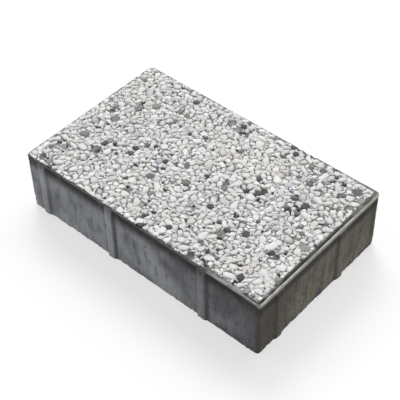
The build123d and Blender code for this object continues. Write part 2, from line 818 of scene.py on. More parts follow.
@dataclass(frozen=True)
class Ripple:
    """One layer of random relief: its height, its size and how its places are stretched."""

    height: float
    size: float
    stretch: Stretch = PLAIN

    def on(self, relief: Relief, points: np.ndarray) -> np.ndarray:
        """The layer's height at some points."""
        return self.height * relief.at(points * self.stretch, self.size)


def lines(breaks: Iterable[float], pitch: float) -> np.ndarray:
    """Grid lines that hold every break and lie at most a pitch apart.

    Args:
        breaks: places that need a line of their own.
        pitch: the widest gap between two lines.

    Returns:
        The places of the lines, in order.
    """
    decimals, slack = 7, 1e-6
    marks = np.unique(np.round(list(breaks), decimals))
    runs = [
        np.linspace(a, b, max(1, math.ceil((b - a) / pitch - slack)), endpoint=False)
        for a, b in pairwise(marks)
    ]
    return np.append(np.concatenate(runs), marks[-1])


@dataclass
class Facets:
    """Faces that all have the same number of corners, and their places on the flat map."""

    corners: np.ndarray
    places: np.ndarray


def make_piece(
    name: str,
    vertices: np.ndarray,
    facets: Sequence[Facets],
    numbers: dict[Zone, np.ndarray],
    material: bpy.types.Material,
    sharp: float,
) -> bpy.types.Object:
    """Makes one piece of the tile and puts it on the tile's body.

    Args:
        name: the piece's name.
        vertices: n by 3 places in metres.
        facets: its faces.
        numbers: for each zone, one number a vertex.
        material: the piece's finish.
        sharp: the angle over which an edge is shaded sharp.

    Returns:
        The piece.
    """
    corners = np.concatenate([group.corners.ravel() for group in facets])
    places = np.concatenate([group.places.reshape(-1, 2) for group in facets])
    counts = np.concatenate([np.full(len(g.corners), g.corners.shape[1]) for g in facets])
    mesh = bpy.data.meshes.new(name)
    mesh.vertices.add(len(vertices))
    mesh.vertices.foreach_set("co", np.asarray(vertices, np.float32).ravel())
    mesh.loops.add(len(corners))
    mesh.loops.foreach_set("vertex_index", corners.astype(np.int32))
    mesh.polygons.add(len(counts))
    mesh.polygons.foreach_set("loop_start", (np.cumsum(counts) - counts).astype(np.int32))
    mesh.update(calc_edges=True)
    for zone, values in numbers.items():
        attribute = mesh.attributes.new(zone.value, "FLOAT", "POINT")
        attribute.data.foreach_set("value", np.asarray(values, np.float32))
    layer = mesh.uv_layers.new(name=BAKE_MAP)
    layer.uv.foreach_set("vector", places.astype(np.float32).ravel())
    mesh.materials.append(material)
    mesh.shade_smooth()
    mesh.set_sharp_from_angle(angle=sharp)
    mesh.validate()
    piece = bpy.data.objects.new(name, mesh)
    bpy.context.scene.collection.objects.link(piece)
    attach(piece, BODY)
    triangles = int((counts - 2).sum())
    log.info("%s: %d vertices, %d triangles", name, len(vertices), triangles)
    return piece


def near_tree(points: np.ndarray) -> KDTree:
    """Makes a search tree, which finds the points near a place.

    Args:
        points: n by 3 places in metres.

    Returns:
        The tree.
    """
    tree = KDTree(len(points))
    for number, point in enumerate(points.tolist()):
        tree.insert(point, number)
    tree.balance()
    return tree


@dataclass(frozen=True)
class Nick:
    """A place where the face has broken away, at its edge or a little inside it."""

    along: float
    edge: int
    radius: float
    inside: float = 0.0


@dataclass(frozen=True)
class CastTexture:
    """What the mould, the washing and the wear did to the block's surface, and the painted shade in its
    creases and pits.
    """

    wall_ripples: tuple[Ripple, ...] = (
        Ripple(0.12 * MM, 2.2 * MM),
        Ripple(0.16 * MM, 1.4 * MM, (1.0, 1.0, 0.16)),
        Ripple(0.12 * MM, 14 * MM),
    )
    wall_pits: int = 110
    wall_pit_radii_mm: tuple[float, float] = (0.9, 2.2)
    wall_pit_depth: float = 0.8 * MM
    # Grime and painted shade in the pits of the walls.
    wall_pit_dirt_and_shade: float = 0.7
    pits_below_face: float = 8 * MM
    pits_off_ribs: float = 0.1
    voids: Ripple = Ripple(2.2, 2.6 * MM, (1.0, 1.0, 1.2))
    void_level: float = 1.144
    voids_below_face: float = 4 * MM
    ragged_depth: float = 0.45 * MM
    foot_ripple: Ripple = Ripple(0.5, 2.8 * MM)
    foot_ragged: float = 1.6 * MM
    top_ripple: Ripple = Ripple(0.35, 3.2 * MM)
    top_ragged: float = 2.8 * MM
    top_ragged_full: float = 1 * MM
    # Painted shade in the creases at the ribs' feet, stronger on the side of each rib away from the
    # light.
    shaded_flank_shade: float = 1.3
    lee_reach: float = 2.2 * MM
    lit_flank_shade: float = 0.45
    lit_reach: float = 1.6 * MM
    rib_edge: float = 2 * MM
    bed_ripples: tuple[Ripple, ...] = (Ripple(0.3 * MM, 2.4 * MM), Ripple(0.3 * MM, 6 * MM))
    rim_ripples: tuple[Ripple, ...] = (Ripple(0.2 * MM, 1.4 * MM), Ripple(0.2 * MM, 3.5 * MM))
    lip_bead: float = 0.35 * MM
    lip_ripple: Ripple = Ripple(1.3, 9 * MM, ACROSS)
    lip_mean: float = 0.95
    lip_least: float = 0.2
    smear_ripple: Ripple = Ripple(0.45, 6 * MM, LEVEL)
    smear_edge: float = 1.5
    smear_fill: float = 0.35
    crust_ripple: Ripple = Ripple(0.4, 7 * MM, ALONG)
    crust_edge: float = 1.5 * MM
    crust_fill: float = 0.7
    face_pits: int = 60
    face_pit_radii_mm: tuple[float, float] = (0.8, 1.9)
    face_pit_margin: float = 4 * MM
    face_pit_spread: float = 1.5
    face_pit_depth: float = 3.0 * MM
    under_ripple: Ripple = Ripple(0.35 * MM, 4 * MM)
    under_pits: int = 620
    under_pit_radii_mm: tuple[float, float] = (1.8, 4.2)
    under_pit_depth: float = 1.1 * MM
    nick_ripple: Ripple = Ripple(0.25, 2 * MM)
    nick_lift: float = 0.1


@dataclass
class CastBlock:
    """The block of pressed concrete: walls with spacer ribs, bevelled rim, bed and underside."""

    rib_proud: float = 1.5 * MM
    rib_foot: float = 11.0 * MM
    rib_crest: float = 6.0 * MM
    rib_top_below_face: float = 2.5 * MM
    rib_lead_in: float = 6.0 * MM
    long_side_near_rib: float = 18.5 * MM
    long_side_far_rib: float = 57.5 * MM
    middle_rib_pitch: float = 80.0 * MM
    short_side_near_rib: float = 25.0 * MM
    short_side_far_rib: float = 52.0 * MM
    corner_radius: float = 3.5 * MM
    bevel_width: float = 2.2 * MM
    bevel_drop: float = 1.4 * MM
    lip_width: float = 1.1 * MM
    lip_begins: float = 24.0 * MM
    lip_full: float = 14.4 * MM
    groove_width: float = 1.6 * MM
    groove_depth: float = 1.5 * MM
    groove_fade: tuple[float, float] = (20.0 * MM, 35.0 * MM)
    groove_lost: float = 0.6
    bed_fall: float = 0.6 * MM
    bed_depth: float = 1.7 * MM
    deepest_gap: float = 2.4 * MM
    smear_middle: tuple[float, float] = (114 * MM, -58 * MM)
    smear_radius: float = 17.0 * MM
    crust_begins: float = 74.0 * MM
    crust_width: float = 5.0 * MM
    texture: CastTexture = CastTexture()
    nicks: tuple[Nick, ...] = (
        Nick(69 * MM, -1, 2.0 * MM, 6.5 * MM),
        Nick(76.5 * MM, -1, 1.8 * MM, 7.5 * MM),
        Nick(118 * MM, -1, 2.2 * MM, 5.5 * MM),
        Nick(46 * MM, 1, 3.0 * MM),
        Nick(53 * MM, 1, 3.6 * MM),
        Nick(61 * MM, 1, 2.8 * MM),
    )
    pitch: float = 1.1 * MM
    near_enough: float = 0.2 * MM
    flat_wall: float = 0.999
    map_gap: float = 3 * MM
    map_edge: float = 2 * MM
    sharp: float = math.radians(38)
    seed: int = 11
    half_length: float = field(init=False)
    half_width: float = field(init=False)
    height: float = field(init=False)

    def __post_init__(self) -> None:
        """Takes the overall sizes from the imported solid, and draws the pits of the face."""
        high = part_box(NODE)[1]
        self.half_length = high.x - self.rib_proud
        self.half_width = high.y - self.rib_proud
        self.height = high.z
        self.relief = Relief(self.seed)
        self.rng = np.random.default_rng(self.seed)
        half = np.array([self.half_length, self.half_width]) - self.texture.face_pit_margin
        self.pit_middles = self.rng.uniform(-1, 1, (self.texture.face_pits, 2)) * half
        radii = self.rng.uniform(*self.texture.face_pit_radii_mm, self.texture.face_pits)
        self.pit_radii = radii * MM

    @property
    def long_side_ribs(self) -> list[float]:
        """Rib centres on the front, along +X from the middle. The back has their mirror."""
        near = -self.half_length + self.long_side_near_rib
        return [near, near + self.middle_rib_pitch, self.half_length - self.long_side_far_rib]

    @property
    def short_side_ribs(self) -> list[float]:
        """Rib centres on the right side, along +Y from the middle. The left has their mirror."""
        return [-self.half_width + self.short_side_near_rib, self.half_width - self.short_side_far_rib]

    @property
    def wall_top(self) -> float:
        """The height at which the walls end and the bevel begins."""
        return self.height - self.bevel_drop

    def nick_middle(self, nick: Nick) -> Vector:
        """Places the ball that a nick is scooped out with.

        Args:
            nick: the nick.

        Returns:
            The middle of its ball.
        """
        across = nick.edge * (self.half_width - nick.inside)
        lift = self.texture.nick_lift * nick.radius
        return Vector((nick.along, across, self.height + lift))

    def inset(self, x: np.ndarray, y: np.ndarray) -> np.ndarray:
        """Measures how far points lie inside the block's rounded outline, seen from above.

        Args:
            x: the places along the tile.
            y: the places across the tile.

        Returns:
            The distances.
        """
        past_x = np.abs(x) - (self.half_length - self.corner_radius)
        past_y = np.abs(y) - (self.half_width - self.corner_radius)
        round_part = np.hypot(np.maximum(past_x, 0), np.maximum(past_y, 0))
        return self.corner_radius - round_part - np.minimum(np.maximum(past_x, past_y), 0)

    def kept_inside(self, x: np.ndarray, y: np.ndarray, gap: float) -> tuple[np.ndarray, np.ndarray]:
        """Moves places back inside the block's outline where they lie past it.

        Args:
            x: the places along the tile.
            y: the places across the tile.
            gap: how far inside the outline they stay.

        Returns:
            The places along and across.
        """
        long, wide = self.half_length - self.corner_radius, self.half_width - self.corner_radius
        core_x, core_y = np.clip(x, -long, long), np.clip(y, -wide, wide)
        out = np.hypot(x - core_x, y - core_y)
        kept = np.minimum(1, (self.corner_radius - gap) / np.maximum(out, TINY))
        return core_x + (x - core_x) * kept, core_y + (y - core_y) * kept

    def skin_height(self, inset: np.ndarray) -> np.ndarray:
        """The height of the face and its bevel before washing."""
        return self.height - self.bevel_drop * (1 - np.clip(inset / self.bevel_width, 0, 1))

    def _rounded(self, x: np.ndarray, y: np.ndarray) -> tuple[np.ndarray, np.ndarray]:
        """Moves the points of a square corner onto a round one.

        Args:
            x: the places along the tile.
            y: the places across the tile.

        Returns:
            The places along and across.
        """
        radius = self.corner_radius
        a = np.clip((np.abs(x) - (self.half_length - radius)) / radius, 0, 1)
        b = np.clip((np.abs(y) - (self.half_width - radius)) / radius, 0, 1)
        pull_x = radius * a * (1 - np.sqrt(1 - b * b / 2))
        pull_y = radius * b * (1 - np.sqrt(1 - a * a / 2))
        return x - np.sign(x) * pull_x, y - np.sign(y) * pull_y

    def _grid_lines(self) -> tuple[np.ndarray, np.ndarray, np.ndarray]:
        """Lays grid lines over the block, with one at each edge of a rib.

        Returns:
            The lines along the tile, across it and up it.
        """
        rim = [0.0, 0.5 * self.lip_width, self.lip_width, self.lip_width + self.bed_fall]
        rim += [self.lip_width + self.groove_width, self.lip_width + 2 * self.groove_width]
        rib = [-self.rib_foot / 2, -self.rib_crest / 2, self.rib_crest / 2, self.rib_foot / 2]
        found = []
        for half, centres in (
            (self.half_length, self.long_side_ribs),
            (self.half_width, self.short_side_ribs),
        ):
            marks = [side * (half - r) for r in rim for side in (-1, 1)]
            marks += [side * (c + r) for c in centres for r in rib for side in (-1, 1)]
            found.append(lines(marks, self.pitch))
        rib_top = self.height - self.rib_top_below_face
        found.append(lines([0, rib_top - self.rib_lead_in, rib_top, self.wall_top], self.pitch))
        return found[0], found[1], found[2]

    def _rib_rise(self, along: np.ndarray, up: np.ndarray, centres: Iterable[float]) -> np.ndarray:
        """How far the ribs stand out of a wall.

        Args:
            along: places along the wall from its middle.
            up: heights above the underside.
            centres: the ribs' centres along the wall.

        Returns:
            The rise at each place, as a share of the whole.
        """
        flank = (self.rib_foot - self.rib_crest) / 2
        rise = np.zeros(len(along))
        for centre in centres:
            across = (self.rib_foot / 2 - np.abs(along - centre)) / flank
            rise = np.maximum(rise, np.clip(across, 0, 1))
        top = self.height - self.rib_top_below_face
        slope = np.clip((top - up) / self.rib_lead_in, 0, 1)
        return np.minimum(rise, slope)

    @staticmethod
    def _hollows(tree: KDTree, count: int, middles: np.ndarray, radii: np.ndarray) -> np.ndarray:
        """How deep round hollows go at each point.

        Args:
            tree: the points.
            count: how many there are.
            middles: the middle of each hollow.
            radii: the radius of each hollow.

        Returns:
            One share a point, from 0, no hollow, to 1, the deepest.
        """
        deep = np.zeros(count)
        for middle, radius in zip(middles.tolist(), radii.tolist()):
            for _, number, away in tree.find_range(middle, radius):
                deep[number] = max(deep[number], 1 - (away / radius) ** 2)
        return deep

    def build(self, material: bpy.types.Material) -> bpy.types.Object:
        """Makes the block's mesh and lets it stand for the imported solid.

        Args:
            material: the concrete.

        Returns:
            The block.
        """
        xs, ys, zs = self._grid_lines()
        last = (len(xs) - 1, len(ys) - 1, len(zs) - 1)
        i, j, k = np.meshgrid(*(np.arange(n + 1) for n in last), indexing="ij")
        wall = (i == 0) | (i == last[0]) | (j == 0) | (j == last[1])
        kept_below = (k == 0) & (i % 2 == 0) & (j % 2 == 0)
        used = wall | (k == last[2]) | kept_below
        number = np.full(used.shape, -1)
        number[used] = np.arange(used.sum())
        i, j, k = i[used], j[used], k[used]
        wall, top, under = wall[used], (k == last[2]) & ~wall[used], (k == 0) & ~wall[used]
        square = np.stack([xs[i], ys[j], zs[k]], 1)
        vertices, numbers = self._shaped(square, wall, top, under)
        facets = self._facets(number, (xs, ys, zs))
        block = make_piece("concrete_block", vertices, facets, numbers, material, self.sharp)
        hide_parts(NODE)
        return block

    def _shaped(
        self, square: np.ndarray, wall: np.ndarray, top: np.ndarray, under: np.ndarray
    ) -> tuple[np.ndarray, dict[Zone, np.ndarray]]:
        """Gives the box's grid points the block's shape and relief.

        Args:
            square: the points on a plain box.
            wall: which of them are on the walls.
            top: which are on the face, inside the walls.
            under: which are on the underside, inside the walls.

        Returns:
            The shaped points, and the zones that the concrete's finish reads.
        """
        x, y = self._rounded(square[:, 0], square[:, 1])
        points = np.stack([x, y, square[:, 2]], 1)
        tree = near_tree(points)
        moved, zones = self._shape_walls(points, wall, tree)
        inset = self.inset(x, y)
        face_z, washed, face_pit = self._face_heights(points, inset, tree)
        moved[:, 2] = np.where(top, face_z, moved[:, 2])
        lift, under_pit = self._under_heights(points, under, tree)
        moved[:, 2] = np.where(under, lift, moved[:, 2])
        nick = self._scoop(moved)
        pit = np.where(top, face_pit, np.where(under, under_pit, zones[Zone.PIT]))
        at_rim = square[:, 2] > self.wall_top - self.near_enough / 2
        zones |= {
            Zone.WASHED: washed * top,
            Zone.RIM: (~under & at_rim & (washed < 0.5)) * 1.0,
            Zone.LIP: self._lip(points),
            Zone.UNDER: (under | (square[:, 2] < self.near_enough)) * 1.0,
            Zone.PIT: np.maximum(pit, nick),
            Zone.DEEP: np.clip((self.skin_height(inset) - moved[:, 2]) / self.deepest_gap, 0, 1) * top,
            Zone.SMEAR: self.smear(points),
            Zone.CRUST: self._crust(points) * top,
        }
        return moved, zones

    def smear(self, points: np.ndarray) -> np.ndarray:
        """Tells how much of the paste the washing left at the near corner.

        Args:
            points: n by 3 places.

        Returns:
            n shares from 0 to 1.
        """
        away = np.hypot(points[:, 0] - self.smear_middle[0], points[:, 1] - self.smear_middle[1])
        ragged = 1 + self.texture.smear_ripple.on(self.relief, points)
        return np.clip(self.texture.smear_edge * (ragged - away / self.smear_radius), 0, 1)

    def _crust(self, points: np.ndarray) -> np.ndarray:
        """Tells how much grey crust covers the front edge, which it does near the near corner.

        Args:
            points: n by 3 places.

        Returns:
            n shares from 0 to 1.
        """
        along = np.clip((points[:, 0] - self.crust_begins) / (2 * self.crust_width), 0, 1)
        width = self.crust_width * (1 + self.texture.crust_ripple.on(self.relief, points))
        inside = width - points[:, 1] - self.half_width
        return along * np.clip(inside / self.texture.crust_edge, 0, 1)

    def _lip(self, points: np.ndarray) -> np.ndarray:
        """Tells how much of the smooth lip there is: all at the right end, and none before it.

        Args:
            points: n by 3 places.

        Returns:
            n shares from 0 to 1.
        """
        past = points[:, 0] - self.half_length + self.lip_begins
        worn = self.texture.lip_mean + self.texture.lip_ripple.on(self.relief, points)
        return np.clip(past / self.lip_full, 0, 1) * np.clip(worn, self.texture.lip_least, 1)

    def _outward(self, points: np.ndarray) -> np.ndarray:
        """The outward direction of the walls, seen from above.

        Args:
            points: n by 3 places.

        Returns:
            n by 2 parts along and across, 0 away from the walls.
        """
        x, y = points[:, 0], points[:, 1]
        out_x = np.maximum(np.abs(x) - (self.half_length - self.corner_radius), 0) * np.sign(x)
        out_y = np.maximum(np.abs(y) - (self.half_width - self.corner_radius), 0) * np.sign(y)
        return np.stack([out_x, out_y], 1) / np.maximum(np.hypot(out_x, out_y), TINY)[:, None]

    def _rib_zones(
        self, points: np.ndarray, wall: np.ndarray, outward: np.ndarray
    ) -> dict[Zone, np.ndarray]:
        """Finds where ribs rise, where shade is painted into the creases at their feet and where they
        span.

        Args:
            points: the points on a plain block.
            wall: which of them are on the walls.
            outward: the walls' outward direction at each point.

        Returns:
            The zones of the ribs. The crease on the side of a rib away from the light gets the most
            painted shade.
        """
        texture = self.texture
        rise, foot, spans = (np.zeros(len(points)) for _ in range(3))
        for axis, centres in ((1, self.long_side_ribs), (0, self.short_side_ribs)):
            for side in (-1, 1):
                on_side = wall & (outward[:, axis] * side > self.flat_wall)
                along = points[on_side, 1 - axis] * (-side if axis == 1 else side)
                rise[on_side] = self._rib_rise(along, points[on_side, 2], centres)
                for centre in centres:
                    off = np.abs(along - centre) - 0.5 * self.rib_foot
                    # Painted shade in the creases, stronger on the side of each rib away from the
                    # light.
                    lit = texture.lit_flank_shade * np.clip(1 - np.abs(off) / texture.lit_reach, 0, 1)
                    unlit = np.clip(texture.shaded_flank_shade - np.abs(off) / texture.lee_reach, 0, 1)
                    dirt_and_shade = np.where((along - centre) * side < 0, unlit, lit)
                    foot[on_side] = np.maximum(foot[on_side], dirt_and_shade)
                    span = np.clip(-off / texture.rib_edge, 0, 1)
                    spans[on_side] = np.maximum(spans[on_side], span)
        return {Zone.RIB: rise, Zone.FOOT: foot, Zone.SPAN: spans}

    def _shape_walls(
        self, points: np.ndarray, wall: np.ndarray, tree: KDTree
    ) -> tuple[np.ndarray, dict[Zone, np.ndarray]]:
        """Moves the walls' points out for the ribs, and in and out for their relief.

        Args:
            points: the points on a plain block.
            wall: which of them are on the walls.
            tree: all the points.

        Returns:
            The moved points, and the zones of the ribs and of the pits.
        """
        texture, relief, z = self.texture, self.relief, points[:, 2]
        outward = self._outward(points)
        zones = self._rib_zones(points, wall, outward)
        rise = zones[Zone.RIB]
        clear = (z < self.height - texture.pits_below_face) & (rise < texture.pits_off_ribs)
        spots = self.rng.choice(np.flatnonzero(wall & clear), texture.wall_pits, replace=False)
        radii = self.rng.uniform(*texture.wall_pit_radii_mm, texture.wall_pits) * MM
        pit = self._hollows(tree, len(points), points[spots], radii) * wall
        voids = np.clip(texture.voids.on(relief, points[:, ::-1]) - texture.void_level, 0, 1)
        pit = np.maximum(pit, voids * wall * (z < self.height - texture.voids_below_face))
        foot = np.clip(1 - z / texture.foot_ragged, 0, 1)
        top = np.clip((z - self.height + texture.top_ragged) / texture.top_ragged_full, 0, 1)
        ragged = foot * (texture.foot_ripple.height + texture.foot_ripple.on(relief, points))
        ragged += top * texture.top_ripple.on(relief, points)
        push = rise * self.rib_proud + sum(ripple.on(relief, points) for ripple in texture.wall_ripples)
        push -= pit * texture.wall_pit_depth + ragged * texture.ragged_depth
        moved = points.copy()
        moved[:, :2] += wall[:, None] * outward * push[:, None]
        return moved, zones | {Zone.PIT: pit * texture.wall_pit_dirt_and_shade}

    def _face_heights(
        self, points: np.ndarray, inset: np.ndarray, tree: KDTree
    ) -> tuple[np.ndarray, np.ndarray, np.ndarray]:
        """The heights of the bevel, the smooth lip at the right end and the washed bed.

        Args:
            points: the points on a plain block.
            inset: how far inside its outline they lie.
            tree: all the points.

        Returns:
            The heights, how far each point is washed, and the pits with the groove.
        """
        texture, relief = self.texture, self.relief
        lip = self._lip(points)
        fall = self.bed_fall + (1 - lip) * 0.5 * self.bevel_width
        washed = np.clip((inset - lip * self.lip_width) / fall, 0, 1)
        middle = self.lip_width + self.groove_width
        groove = lip * np.clip(1 - np.abs(inset - middle) / self.groove_width, 0, 1)
        groove *= 1 - self.groove_lost * np.interp(points[:, 1], self.groove_fade, (0, 1))
        heights = np.full(texture.face_pits, self.wall_top)
        middles = np.column_stack([self.pit_middles, heights])
        pit = self._hollows(tree, len(points), middles, texture.face_pit_spread * self.pit_radii)
        smeared = texture.smear_fill * self.smear(points)
        left = np.maximum(smeared, texture.crust_fill * self._crust(points))
        depth = self.bed_depth + sum(ripple.on(relief, points) for ripple in texture.bed_ripples)
        down = washed * depth * (1 - left) + groove * self.groove_depth
        down = np.maximum(down, np.sqrt(pit) * texture.face_pit_depth)
        bead = lip * np.clip(1 - np.abs(2 * inset / self.lip_width - 1), 0, 1) * texture.lip_bead
        rim = (1 - washed) * (sum(ripple.on(relief, points) for ripple in texture.rim_ripples) + bead)
        height = np.minimum(self.skin_height(inset) - down + rim, self.height)
        return height, washed, np.maximum(pit, groove)

    def _under_heights(
        self, points: np.ndarray, under: np.ndarray, tree: KDTree
    ) -> tuple[np.ndarray, np.ndarray]:
        """The heights of the open-grained underside.

        Args:
            points: the points on a plain block.
            under: which of them are on the underside.
            tree: all the points.

        Returns:
            The heights and the pits.
        """
        texture = self.texture
        lows = self.rng.choice(np.flatnonzero(under), texture.under_pits, replace=False)
        radii = self.rng.uniform(*texture.under_pit_radii_mm, texture.under_pits) * MM
        pit = self._hollows(tree, len(points), points[lows], radii)
        ripple = texture.under_ripple
        lift = ripple.height + ripple.on(self.relief, points) + texture.under_pit_depth * pit
        return lift, pit

    def _scoop(self, points: np.ndarray) -> np.ndarray:
        """Pushes the points inside each nick out to its ball, and tells which they are.

        Args:
            points: the block's points, which are changed.

        Returns:
            1 at the points that a nick moved, and 0 at the others.
        """
        nicked = np.zeros(len(points))
        for nick in self.nicks:
            middle = np.array(self.nick_middle(nick))
            away = points - middle
            far = np.linalg.norm(away, axis=1)
            radius = nick.radius * (1 + self.texture.nick_ripple.on(self.relief, points))
            inside = far < radius
            reach = (radius / np.maximum(far, self.near_enough))[inside, None]
            points[inside] = middle + away[inside] * reach
            nicked[inside] = 1.0
        return nicked

    def _facets(
        self, number: np.ndarray, grid: tuple[np.ndarray, np.ndarray, np.ndarray]
    ) -> list[Facets]:
        """The faces of the closed box, laid out side by side on the flat map.

        Args:
            number: the vertex number at each grid place, or -1.
            grid: the grid lines along, across and up.

        Returns:
            The faces.
        """
        xs, ys, zs = grid
        length, width, height = xs[-1] - xs[0], ys[-1] - ys[0], zs[-1]
        gap, edge = self.map_gap, self.map_edge
        rows = width + gap
        whole = 2 * rows + 2 * (height + gap) + 2 * edge
        sheets = [
            (number[:, :, -1], xs, ys, (0.0, 0.0), False, False),
            (number[:, 0, :], xs, zs, (0.0, 2 * rows), False, False),
            (number[:, -1, :], xs, zs, (0.0, 2 * rows + height + gap), False, True),
            (number[-1, :, :], ys, zs, (length + gap, 0.0), True, False),
            (number[0, :, :], ys, zs, (length + 2 * gap + height, 0.0), True, True),
        ]
        facets = []
        for sheet, across, up, corner, upright, flipped in sheets:
            a, b = np.meshgrid(np.arange(len(across) - 1), np.arange(len(up) - 1), indexing="ij")
            turns = [(0, 0), (1, 0), (1, 1), (0, 1)]
            if flipped:
                turns = turns[::-1]
            corners = np.stack([sheet[a + s, b + t].ravel() for s, t in turns], 1)
            u = np.stack([across[a + s].ravel() - across[0] for s, t in turns], 1)
            v = np.stack([up[b + t].ravel() - up[0] for s, t in turns], 1)
            if upright:
                u, v = v, u
            places = (np.stack([u + corner[0], v + corner[1]], 2) + edge) / whole
            facets.append(Facets(corners, places))
        rings = self._under_rings(number[:, :, 0])
        for size in {len(ring) for ring in rings}:
            same = np.array([ring for ring in rings if len(ring) == size])
            a, b = same[:, :, 0], same[:, :, 1]
            flat = np.stack([xs[a] - xs[0], ys[b] - ys[0] + rows], 2)
            facets.append(Facets(number[a, b, 0], (flat + edge) / whole))
        return facets

    @staticmethod
    def _under_rings(sheet: np.ndarray) -> list[list[tuple[int, int]]]:
        """The underside's faces, two grid cells wide, with every vertex of the walls' foot.

        Args:
            sheet: the vertex numbers on the underside, -1 where there is none.

        Returns:
            For each face, the grid places of its corners, seen from below.
        """
        rings = []
        far = (sheet.shape[0] - 1, sheet.shape[1] - 1)
        for a, b in product(range(0, far[0], 2), range(0, far[1], 2)):
            c, d = min(a + 2, far[0]), min(b + 2, far[1])
            ring = [(a, t) for t in range(b, d)]
            ring += [(s, d) for s in range(a, c)]
            ring += [(c, t) for t in range(d, b, -1)]
            ring += [(s, b) for s in range(c, a, -1)]
            rings.append([place for place in ring if sheet[place] >= 0])
        return rings


@dataclass
class Bed:
    """The room that is left on the face while stones are set into it."""

    low: np.ndarray
    high: np.ndarray
    spacing: float
    widest: float
    cell: float = 0.3 * MM

    def __post_init__(self) -> None:
        """Lays a fine grid over the face and gives each cell all the room there is."""
        self.xs = np.arange(self.low[0], self.high[0], self.cell)
        self.ys = np.arange(self.low[1], self.high[1], self.cell)
        self.room = np.full((len(self.xs), len(self.ys)), self.widest)

    def take(self, x: float, y: float, radius: float) -> None:
        """Takes away the room round a stone or a pit.

        Args:
            x: its place along the tile.
            y: its place across the tile.
            radius: its radius.
        """
        reach = self.spacing * (radius + self.widest)
        i = slice(*np.searchsorted(self.xs, (x - reach, x + reach)))
        j = slice(*np.searchsorted(self.ys, (y - reach, y + reach)))
        away = np.hypot(self.xs[i, None] - x, self.ys[None, j] - y)
        self.room[i, j] = np.minimum(self.room[i, j], away - self.spacing * radius)

    def fill(
        self, small: float, large: float, most: int, rng: np.random.Generator
    ) -> list[tuple[float, float, float]]:
        """Sets stones of one grade wherever they find room.

        Args:
            small: the least radius.
            large: the largest radius.
            most: the largest number of stones.
            rng: the random numbers.

        Returns:
            For each stone its place along, its place across and its radius.
        """
        stones = []
        for spot in rng.permutation(np.flatnonzero(self.room >= self.spacing * small)):
            i, j = divmod(int(spot), len(self.ys))
            room = self.room[i, j] / self.spacing
            if room < small:
                continue
            x, y = self.xs[i], self.ys[j]
            radius = min(rng.uniform(small, large), room)
            self.take(x, y, radius)
            stones.append((x, y, radius))
            if len(stones) == most:
                break
        return stones


@dataclass(frozen=True)
class ChipShape:
    """A broken stone of unit radius, in triangles, with a flat foot and a flat layout."""

    corners: np.ndarray
    triangles: np.ndarray
    places: np.ndarray
    in_foot: np.ndarray


